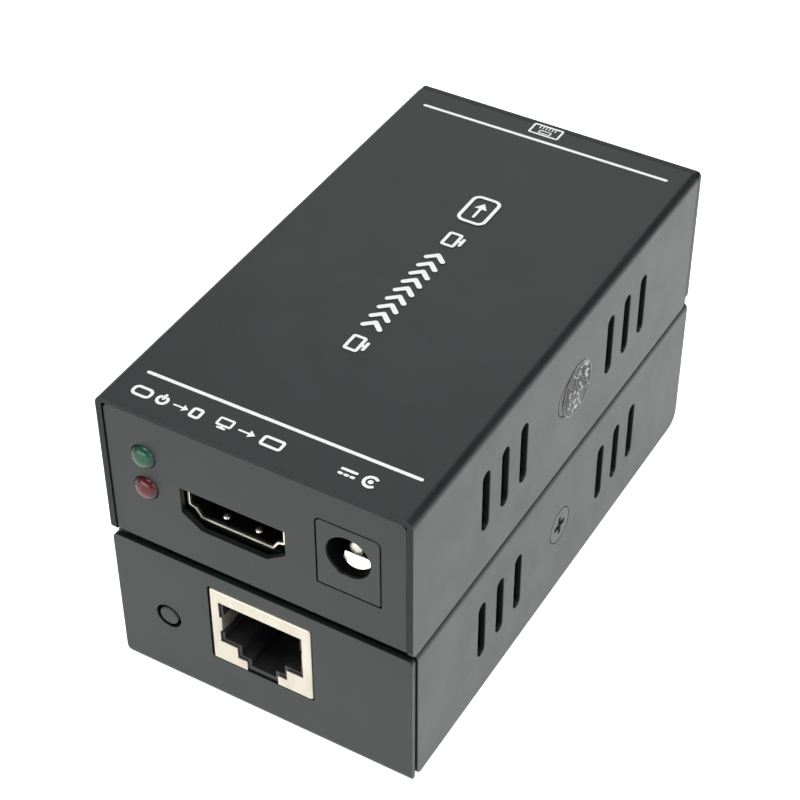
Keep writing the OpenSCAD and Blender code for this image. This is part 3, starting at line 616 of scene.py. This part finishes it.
# Video socket. A folded and nickel-plated shell with rounded corners and two sprung tongues in
# its floor, a black moulded insert with the plug's tongue, and nineteen gold-flashed contacts.
def block(form, low, high):
    """Adds a box to a form."""
    low, high = Vector(low), Vector(high)
    place = Matrix.Translation((low + high) / 2) @ Matrix.Diagonal((*(high - low), 1))
    bmesh.ops.create_cube(form, size=1, matrix=place)


def strip(form, path, width, thick, place=Matrix()):
    """A flat spring: a strip across X that follows a path of (y, z) points."""
    rings = []
    for i, (y, z) in enumerate(path):
        before, after = path[max(i - 1, 0)], path[min(i + 1, len(path) - 1)]
        along = Vector((0, after[0] - before[0], after[1] - before[1])).normalized()
        out = Vector((0, -along.z, along.y)) * thick / 2
        side = Vector((width / 2, 0, 0))
        at = Vector((0, y, z))
        ring = [at + out + side, at - out + side, at - out - side, at + out - side]
        rings.append([place @ point for point in ring])
    skin(form, rings)


def eased(points, steps=6):
    """A smooth path through points."""
    path = []
    ends = [points[0], *points, points[-1]]
    for a, b, c, d in zip(ends, ends[1:], ends[2:], ends[3:]):
        for i in range(steps):
            t = i / steps
            path.append(tuple(0.5 * (2 * q + (r - p) * t + (2 * p - 5 * q + 4 * r - s) * t * t
                                     + (3 * q - p - 3 * r + s) * t ** 3) for p, q, r, s in zip(a, b, c, d)))
    return path + [points[-1]]


def inset(points, depth):
    """A polygon moved inwards by a depth, given in counter-clockwise order."""
    moved = []
    for i, point in enumerate(points):
        before = (Vector(point) - Vector(points[i - 1])).normalized()
        after = (Vector(points[(i + 1) % len(points)]) - Vector(point)).normalized()
        one, two = Vector((-before.y, before.x)), Vector((-after.y, after.x))
        moved.append(Vector(point) + (one + two) * depth / (1 + one.dot(two)))
    return moved


def outline(points, radius, y, steps=4):
    """A ring across Y that follows a polygon of (x, z) points with rounded corners."""
    side_share = 0.45
    ring = []
    for i, point in enumerate(points):
        corner = Vector(point)
        before = Vector(points[i - 1]) - corner
        after = Vector(points[(i + 1) % len(points)]) - corner
        wanted = radius / math.tan(before.angle(after) / 2)
        reach = min(wanted, side_share * before.length, side_share * after.length)
        start, end = corner + before.normalized() * reach, corner + after.normalized() * reach
        for k in range(steps + 1):
            t = k / steps
            x, z = (1 - t) ** 2 * start + 2 * t * (1 - t) * corner + t * t * end
            ring.append(Vector((x, y, z)))
    return ring


def sleeve(form, points, radius, thick, front, back, edge=0.06):
    """A tube along Y with a polygon's outline, its front edges eased."""
    inner = inset(points, thick)
    inner_radius = max(radius - thick, 0.1)
    lip = outline(inset(points, thick - edge), inner_radius, front)
    rings = [lip, outline(inner, inner_radius, front + edge), outline(inner, inner_radius, back),
             outline(points, radius, back), outline(points, radius, front + edge),
             outline(inset(points, edge), radius, front), lip]
    skin(form, rings, False)
    bmesh.ops.remove_doubles(form, verts=form.verts, dist=0.001)


nickel_shell = surface("nickel_shell", (0.62, 0.59, 0.50), (0.78, 0.75, 0.66), (0.28, 0.36),
                       scale=500.0, metal=1.0, stretch=(1, 0.2, 1), skin=0.006)
# Painted shade: a near-black finish with little reflection, set inside mouths where there is only shade.
shade_black = surface("shade_black", (0.002, 0.002, 0.002), (0.004, 0.004, 0.004), (0.6, 0.7),
                     scale=600.0, ior=1.15)
black_nylon = surface("black_nylon", (0.006, 0.006, 0.007), (0.012, 0.012, 0.013), (0.5, 0.62),
                      scale=600.0, skin=0.012)
gold_contact = surface("gold_contact", (0.60, 0.42, 0.16), (0.82, 0.62, 0.28), (0.22, 0.32),
                       scale=900.0, metal=1.0, skin=0.004)
shell_l = 11
shell_h = 5.55
shell_wall = 0.35
tongue_x = 2.5
low, high, middle = part_box("video_shell")
shell_x = middle.x
shell_foot = low.z
shell_front, shell_back = low.y, low.y + shell_l
shell_floor = high.z - shell_h
half = (high.x - low.x) / 2
right_side = [(half - 1.9, 0), (half - 1.1, 1.3), (half, 1.65), (half, shell_h)]
left_side = [(-half, shell_h), (-half, 1.65), (1.1 - half, 1.3)]
shell_shape = [(1.9 - half, 0)] + right_side + left_side
shell_shape = [(shell_x + x, shell_floor + z) for x, z in shell_shape]
form = bmesh.new()
sleeve(form, shell_shape, 0.5, shell_wall, shell_front, shell_back)
for side in (-1, 1):
    wall_x = shell_x + side * (half - shell_wall / 2)
    for leg_y in (2, 7):
        block(form, (wall_x - shell_wall / 2, shell_front + leg_y, shell_foot),
              (wall_x + shell_wall / 2, shell_front + leg_y + 2, shell_floor + 2))
    bump = [(0, 0.5), (0.3, 0.44), (0.5, 0.28), (0.62, 0), (0.62, -0.3), (0, -0.3)]
    bump_at = (shell_x + side * tongue_x, shell_front + 1.55, shell_floor + 0.5)
    spin(form, bump, Matrix.Translation(bump_at), 24)
dress(both_units, "video_socket_shell", plain(form), nickel_shell, "video_shell")
# Painted shade: a black sleeve lines the shell's inside, and its two sprung tongues are drawn black, for
# the shade in the socket's mouth.
form = bmesh.new()
for side in (-1, 1):
    path = [(5.2, 0.42), (3.4, 0.46), (2.1, 0.52), (0.8, 0.52), (0.5, 0.42)]
    path = [(shell_front + y, shell_floor + z) for y, z in path]
    strip(form, eased(path, 4), 1.5, 0.16, Matrix.Translation((shell_x + side * tongue_x, 0, 0)))
sleeve(form, inset(shell_shape, shell_wall + 0.02), 0.2, 0.08, shell_front + 0.4, shell_back - 0.5, 0.02)
dress(both_units, "video_socket_shade_lining", plain(form), shade_black)
dress(both_units, "video_socket_insert", soften(part_form("video_insert"), 0.1, 2), black_nylon,
      "video_insert")
dress(both_units, "video_socket_contacts", soften(part_form("video_contacts"), 0.03, 1), gold_contact,
      "video_contacts")


# Power socket. A dark grey moulded body, flush in its panel, with a turned and nickel-plated
# centre pin and a sprung leaf of the same metal in the floor of its mouth.
socket_plastic = surface("socket_plastic", (0.009, 0.011, 0.011), (0.013, 0.015, 0.015), (0.38, 0.46),
                         scale=400.0, skin=0.012, ior=1.44, sheen=(0.95, 1, 0.99))
pin_nickel = surface("pin_nickel", (0.46, 0.43, 0.37), (0.58, 0.55, 0.48), (0.34, 0.44),
                     scale=700.0, metal=1.0, skin=0.003)
bright_nickel = surface("bright_nickel", (0.66, 0.64, 0.58), (0.80, 0.78, 0.72), (0.2, 0.3),
                        scale=700.0, metal=1.0, skin=0.003)
dress(both_units, "power_socket_body", soften(part_form("power_socket"), 0.14, 3), socket_plastic,
      "power_socket")
bore_r = 3.24
bore_l = 9.35
bore_front = 0.4
mouth = part_box("power_socket")[0].y
low, high, middle = part_box("power_pin")
form = bmesh.new()
# Painted shade: the bore is lined in near-black, darker than the body's plastic, for the shade deep in the
# mouth.
bore = [(bore_r, -bore_front), (bore_r, -bore_l), (0.9, -bore_l), (0.9, 0.05 - bore_l)]
bore += [(bore_r - 0.05, 0.05 - bore_l), (bore_r - 0.05, -bore_front)]
spin(form, bore, looking((0, -1, 0), (middle.x, mouth, middle.z)), 48, False)
dress(both_units, "power_socket_bore", plain(form), shade_black)
pin_r = (high.x - low.x) / 2
pin_l = high.y - low.y
dome_share = 0.45
tip = [(r, pin_l - dome_share * pin_r + dome_share * h) for r, h in reversed(arc(0, 0, pin_r, 0, 90, 8))]
form = bmesh.new()
spin(form, [(0, pin_l)] + tip[1:] + [(pin_r, 0), (0, 0)],
     looking((0, -1, 0), (middle.x, high.y, middle.z)), 32)
dress(both_units, "power_socket_pin", plain(form), pin_nickel, "power_pin")
low, high, middle = part_box("power_spring")
rise = high.z - low.z
path = [(low.y + 0.15, 0.14), (low.y + 0.5, 0.3 * rise), (low.y + 0.95, 0.75 * rise),
        (low.y + 1.22, rise - 0.14), (low.y + 1.6, rise - 0.3), (low.y + 3.5, 0.5 * rise),
        (high.y - 1.0, 0.3), (high.y, 0.16)]
form = bmesh.new()
strip(form, eased(path, 8), high.x - low.x, 0.26, Matrix.Translation((middle.x, 0, low.z)))
dress(both_units, "power_socket_spring", plain(form, 50), bright_nickel, "power_spring")


# Network socket. A folded shield in satin nickel with a stepped opening and a ground finger on
# each side, a black housing with eight grooves, and eight gold-flashed spring wires in them.
def round_edges(form, width, segments, chosen):
    """Rounds the edges of a form that pass a test."""
    edges = [edge for edge in form.edges if chosen(*(vert.co for vert in edge.verts))]
    bmesh.ops.bevel(form, geom=edges, offset=width, segments=segments, affect="EDGES", profile=0.5,
                    clamp_overlap=True)


nickel_shield = surface("nickel_shield", (0.47, 0.43, 0.355), (0.62, 0.58, 0.50), (0.36, 0.46),
                        scale=260.0, metal=0.85, stretch=(1, 1, 0.25), skin=0.008)
low, high, middle = part_box("network_shield")


def on_fold(a, b):
    """True for an edge of the shield's face along one of its folds: its top or one of its sides."""
    on_face = min(a.y, b.y) > high.y - 0.01
    on_top = min(a.z, b.z) > high.z - 0.6
    on_side = abs(a.x + b.x) > 2 * high.x - 0.02
    return on_face and (on_top or on_side)


form = part_form("network_shield")
round_edges(form, 0.45, 4, on_fold)
dress(both_units, "network_socket_shield", soften(form, 0.07, 2), nickel_shield,
      "network_shield")
dress(both_units, "network_socket_housing", soften(part_form("network_housing"), 0.08, 2), black_nylon,
      "network_housing")
wire_count = 8
wire_pitch = 1.02
low, high, middle = part_box("network_contacts")
path = [(0, -0.02), (-0.5, 0.0), (-1.2, -0.1), (-3.2, -0.75), (-5.4, -1.45), (-7.0, -1.85)]
form = bmesh.new()
strip(form, eased(path, 4), 0.34, 0.3, Matrix.Translation((0, high.y, high.z - 0.18)))
first_wire = -wire_pitch * (wire_count - 1) / 2
wires = in_rows(soften(form, 0.05, 1), gold_contact, wire_count, (first_wire, 0, 0), (wire_pitch, 0, 0))
dress(both_units, "network_socket_wires", wires, gold_contact, "network_contacts")


# Status lamps. Each is a tinted epoxy lens with a domed end that fills its hole, over a small
# bright cup that holds the light source. A black holder carries the pair on the board.
lens_in = 0.26
lens_proud = 0.25
unit_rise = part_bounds("receiver_base")[0].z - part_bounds("sender_base")[0].z


def lens(colour, dark, light, painted_shade_tint, painted_reflection_tint):
    """Tinted epoxy, with painted shade towards two ends of the lens and a painted reflection of the lit
    panel at its foot.
    """
    finish = bpy.data.materials.new(f"{colour}_lens")
    add, tree = shader_nodes(finish)

    def work(operation, one, two=0.0):
        node = add("Math", in0=one, in1=two)
        node.operation = operation
        return node.outputs[0]

    def blend(share, least, most, one, two):
        part = add("MapRange", Value=share, From_Min=least, From_Max=most, To_Min=0.0, To_Max=0.9)
        return add("MixRGB", Fac=part.outputs[0], Color1=one, Color2=(*two, 1)).outputs[0]

    low, high, middle = part_box(f"{colour}_lamp")
    radius = ((high.x - low.x) / 2 - lens_in) * mm
    place = add("TexCoord").outputs["Object"]
    axes = add("SeparateXYZ", in0=place)
    from_middle = work("SUBTRACT", work("ABSOLUTE", axes.outputs["X"]), abs(middle.x) * mm)
    out = work("DIVIDE", from_middle, radius)
    above_middle = work("SUBTRACT", work("MODULO", axes.outputs["Z"], unit_rise), middle.z * mm)
    up = work("DIVIDE", above_middle, radius)
    # Painted shade towards both ends of a slanted axis across the lens, and a painted reflection towards
    # its lower foot.
    along = work("ABSOLUTE", work("ADD", work("MULTIPLY", out, 0.9), work("MULTIPLY", up, 0.44)))
    reflection_mask = work("SUBTRACT", work("MULTIPLY", out, 0.6), work("MULTIPLY", up, 0.8))
    cloud = add("TexNoise", Vector=place, Scale=300.0, Detail=2.0)
    tone = add("ValToRGB", Fac=cloud.outputs["Fac"])
    for element, position, tint in zip(tone.color_ramp.elements, (0.35, 0.65), (dark, light)):
        element.position = position
        element.color = (*tint, 1)
    painted_shade_tone = blend(along, 0.5, 0.82, tone.outputs[0], painted_shade_tint)
    painted_light_tone = blend(reflection_mask, 0.4, 0.85, painted_shade_tone, painted_reflection_tint)
    body = add("BsdfPrincipled", Base_Color=painted_light_tone, Roughness=0.22, IOR=1.42)
    add("OutputMaterial", Surface=body.outputs[0])
    return finish


# Each lens: its dark and light tone, then its painted shade and its painted reflection.
lamp_tints = {
    "green": lens("green", (0.005, 0.050, 0.024), (0.010, 0.075, 0.038), (0.001, 0.010, 0.006),
                  (0.08, 0.11, 0.10)),
    "red": lens("red", (0.060, 0.003, 0.006), (0.095, 0.006, 0.010), (0.010, 0.001, 0.002),
                (0.11, 0.07, 0.075)),
}
for colour, tint in lamp_tints.items():
    low, high, middle = part_box(f"{colour}_lamp")
    lamp_place = looking((0, -1, 0), (middle.x, low.y, middle.z))
    rim_r = (high.x - low.x) / 2
    lens_r = rim_r - lens_in
    proud = part_box("base")[0].y - low.y + lens_proud
    length = high.y - low.y
    angles = [math.radians(a) for a in range(0, 91, 9)]
    dome = [(lens_r * math.sin(a), -proud * (1 - math.cos(a))) for a in angles]
    rim = [(lens_r, 0.9 - length), (rim_r, 0.85 - length), (rim_r, 0.05 - length), (rim_r - 0.05, -length)]
    form = bmesh.new()
    spin(form, dome + rim + [(0, -length)], lamp_place, 48)
    dress(both_units, f"{colour}_lamp_lens", plain(form, 30), tint, f"{colour}_lamp")
    cup = [(0, -4.2), (0.35, -4.2), (0.75, -3.5), (0.85, -3.5), (0.85, -4.5), (0, -4.5)]
    form = bmesh.new()
    spin(form, cup, lamp_place, 24)
    dress(both_units, f"{colour}_lamp_cup", plain(form), bright_nickel)
dress(both_units, "lamp_holder_block", soften(part_form("lamp_holder"), 0.2, 2), black_nylon,
      "lamp_holder")


# Push button. A flat-ended round cap in dark grey plastic, with a collar that keeps it in the
# black body of its switch. It looks out beside the sender's network socket.
button_plastic = surface("button_plastic", (0.010, 0.012, 0.011), (0.014, 0.016, 0.015), (0.4, 0.48),
                         scale=500.0, skin=0.012, ior=1.44, sheen=paint_sheen)
dress("sender", "push_button_cap", soften(part_form("button", "sender"), 0.12, 2), button_plastic,
      "button", "push_button")
dress("sender", "push_button_switch", soften(part_form("switch", "sender"), 0.15, 2), black_nylon,
      "switch")


# Board. Dark green solder mask over copper tracks, with black cut edges, on four turned brass
# spacers, with four zinc-plated pan-head screws and rows of small soldered resistors.
mask = bpy.data.materials.new("solder_mask")
add, tree = shader_nodes(mask)
place = add("TexCoord").outputs["Object"]
tracks = add("TexBrick", Vector=place, Scale=260.0, in1=(0.002, 0.010, 0.006, 1),
             in2=(0.003, 0.013, 0.007, 1), Mortar=(0.004, 0.022, 0.012, 1), Mortar_Size=0.05)
weave = add("TexNoise", Vector=place, Scale=1500.0, Detail=2.0)
bump = add("Bump", Height=weave.outputs["Fac"], Strength=0.4, Distance=0.01 * mm)
upward = add("SeparateXYZ", in0=add("NewGeometry").outputs["Normal"]).outputs["Z"]
flat = add("MapRange", Value=upward, From_Min=0.4, From_Max=0.6, To_Min=0.0, To_Max=1.0)
tone = add("MixRGB", Fac=flat.outputs[0], Color1=(0.001, 0.0015, 0.0012, 1), Color2=tracks.outputs["Color"])
body = add("BsdfPrincipled", Base_Color=tone.outputs[0], Roughness=0.5, IOR=1.2, Normal=bump.outputs[0])
add("OutputMaterial", Surface=body.outputs[0])
brass = surface("spacer_brass", (0.52, 0.38, 0.15), (0.66, 0.50, 0.22), (0.28, 0.38),
                scale=420.0, metal=1.0, stretch=(0.3, 0.3, 2), skin=0.006)
zinc_steel = surface("zinc_steel", (0.48, 0.49, 0.51), (0.60, 0.61, 0.63), (0.26, 0.36),
                     scale=600.0, metal=1.0, skin=0.006)
tin = surface("tinned_leads", (0.52, 0.53, 0.54), (0.66, 0.67, 0.68), (0.3, 0.42),
              scale=900.0, metal=1.0, skin=0.006)
ceramic = surface("resistor_ceramic", (0.045, 0.045, 0.048), (0.07, 0.07, 0.075), (0.4, 0.5),
                  scale=900.0, skin=0.01)
dress(both_units, "circuit_board", soften(part_form("board"), 0.05, 1), mask, "board")
dress(both_units, "brass_spacers", soften(part_form("spacers"), 0.15, 2), brass, "spacers")
dress(both_units, "board_pan_screws", soften(part_form("board_screws"), 0.25, 3), zinc_steel,
      "board_screws")
board_low, board_high, middle = part_box("board")
top = board_high.z
# Each row's first place, its step and its count. A resistor is a body with a tinned cap on each end
resistor_rows = [(-9.5, -16.5, 1.5, 8), (-9.5, 0.5, 1.5, 9), (-3.6, 17.5, 1.4, 6), (-4.6, 4.6, 1.3, 8),
                 (4.5, 20.5, 1.5, 5)]
bodies = bmesh.new()
caps = bmesh.new()
for x, y, step, count in resistor_rows:
    form = bmesh.new()
    block(form, (-0.38, -0.6, 0.02), (0.38, 0.6, 0.5))
    bodies.from_mesh(in_rows(soften(form, 0.06, 1), ceramic, count, (x, y, top), (step, 0, 0)))
    form = bmesh.new()
    for side in (-1, 1):
        block(form, (-0.42, side * 0.6 - 0.22, 0), (0.42, side * 0.6 + 0.22, 0.54))
    caps.from_mesh(in_rows(soften(form, 0.06, 1), tin, count, (x, y, top), (step, 0, 0)))
dress(both_units, "board_resistors", as_mesh(bodies), ceramic)
dress(both_units, "board_resistor_ends", as_mesh(caps), tin)


# Chips and regulator. Moulded in black epoxy, with tinned leads bent down to the board and a
# dimple that marks the first lead.
chip_resin = surface("chip_resin", (0.012, 0.012, 0.013), (0.022, 0.022, 0.024), (0.5, 0.62),
                     scale=500.0, skin=0.014)
chip_sides = 4
lead_pitch = 0.5
dimple_in = 1.1
dimple_depth = 0.08
for part, dimple_r, lead_reach in (("main_chip", 0.5, 1.0), ("line_chip", 0.35, 0.05)):
    low, high, middle = part_box(part)
    form = bmesh.new()
    block(form, (low.x + lead_reach, low.y + lead_reach, low.z + 0.1),
          (high.x - lead_reach, high.y - lead_reach, high.z))
    spot = Vector((low.x + lead_reach + dimple_in, high.y - lead_reach - dimple_in, high.z))
    cutter = bmesh.new()
    dimple = [(0, 0.01), (dimple_r, 0.01), (dimple_r, -dimple_depth), (0, -dimple_depth)]
    spin(cutter, dimple, Matrix.Translation(spot), 24)
    stock = put("stock", soften(form, 0.12, 2))
    tool = put("tool", plain(cutter))
    cut = stock.modifiers.new("cut", "BOOLEAN")
    cut.operation = "DIFFERENCE"
    cut.object = tool
    dress(both_units, f"{part}_body", as_modified(stock), chip_resin, part)
    bpy.data.objects.remove(tool)
    centre = (middle.x, middle.y, top)
    form = bmesh.new()
    if part == "main_chip":
        gull_wing = [(-4.95, 0.75), (-5.3, 0.75), (-5.5, 0.6), (-5.62, 0.2), (-5.75, 0.08), (-6.0, 0.08)]
        strip(form, gull_wing, 0.22, 0.14)
        lead, lead_count = soften(form, 0.02, 1), 16
    else:
        block(form, (-0.13, -3.5, 0), (0.13, -3.1, 0.2))
        lead, lead_count = soften(form, 0.03, 1), 12
    first_lead = -lead_pitch * (lead_count - 1) / 2
    leads = in_rows(lead, tin, lead_count, (first_lead, 0, 0), (lead_pitch, 0, 0), chip_sides, centre)
    dress(both_units, f"{part}_leads", leads, tin)
low, high, middle = part_box("regulator")
body_back = high.y - 1.7
body_front = body_back - 3.5
leg_pitch = 2.3
form = bmesh.new()
block(form, (low.x, body_front, low.z), (high.x, body_back, high.z))
dress(both_units, "regulator_body", soften(form, 0.14, 2), chip_resin, "regulator")
leg = [(body_back - 3.4, 0.8), (body_back - 3.8, 0.8), (body_back - 4.2, 0.3),
       (low.y + 0.7, 0.15), (low.y, 0.15)]
form = bmesh.new()
strip(form, leg, 0.7, 0.25)
legs = bmesh.new()
legs.from_mesh(in_rows(soften(form, 0.04, 1), tin, 3, (middle.x - leg_pitch, 0, top), (leg_pitch, 0, 0)))
form = bmesh.new()
block(form, (middle.x - 1.5, body_back - 0.3, top), (middle.x + 1.5, high.y, top + 0.25))
legs.from_mesh(soften(form, 0.06, 1))
dress(both_units, "regulator_leads", as_mesh(legs), tin)


# Crystal, capacitors and inductor. A drawn steel can, three aluminium cans on black feet, and
# a ferrite drum wound with enamelled copper wire.
crystal_can = surface("crystal_can", (0.52, 0.53, 0.54), (0.64, 0.65, 0.66), (0.22, 0.32),
                      scale=400.0, metal=1.0, stretch=(0.4, 1, 1), skin=0.005)
capacitor_can = surface("capacitor_can", (0.60, 0.61, 0.63), (0.72, 0.73, 0.75), (0.26, 0.36),
                        scale=400.0, metal=1.0, stretch=(1, 1, 0.3), skin=0.006)
ferrite = surface("ferrite", (0.03, 0.03, 0.033), (0.06, 0.06, 0.065), (0.5, 0.66), scale=800.0,
                  skin=0.03)
copper = surface("enamelled_copper", (0.42, 0.16, 0.06), (0.55, 0.24, 0.10), (0.2, 0.3),
                 scale=700.0, metal=0.9, skin=0.004)
dress(both_units, "crystal_can", soften(part_form("crystal"), 0.28, 3), crystal_can, "crystal")
can_places = [(7.5, board_low.y + 33), (14.6, board_low.y + 32), (12, 12)]
can_profile = [(0, 5.5), (2.6, 5.5), (2.75, 5.6), (2.95, 5.6), (3.15, 5.4), (3.15, 2.1), (3.0, 1.9),
               (3.0, 1.7), (3.15, 1.5), (3.15, 1.0), (0, 1.0)]
foot_half, foot_cut, foot_h = 3.3, 2.1, 1
foot_shape = [(-foot_half, -foot_half), (foot_half, -foot_half), (foot_half, foot_cut),
              (foot_cut, foot_half), (-foot_cut, foot_half), (-foot_half, foot_cut)]
cans = bmesh.new()
feet = bmesh.new()
for x, y in can_places:
    spin(cans, can_profile, Matrix.Translation((x, y, top)), 40)
    skin(feet, [[Vector((x + a, y + b, top + z)) for a, b in foot_shape] for z in (0, foot_h)])
dress(both_units, "capacitor_cans", plain(cans, 40), capacitor_can, "capacitors")
dress(both_units, "capacitor_feet", soften(feet, 0.12, 2), black_nylon)
dress(both_units, "inductor_drum", soften(part_form("inductor"), 0.12, 2), ferrite, "inductor")
middle = part_box("inductor")[2]
winding_place = Matrix.Translation((middle.x, middle.y, top + 1.4))
dress(both_units, "inductor_winding", coiled(copper, 5.5, 2.95, 1.9, 0.2, [winding_place]), copper)
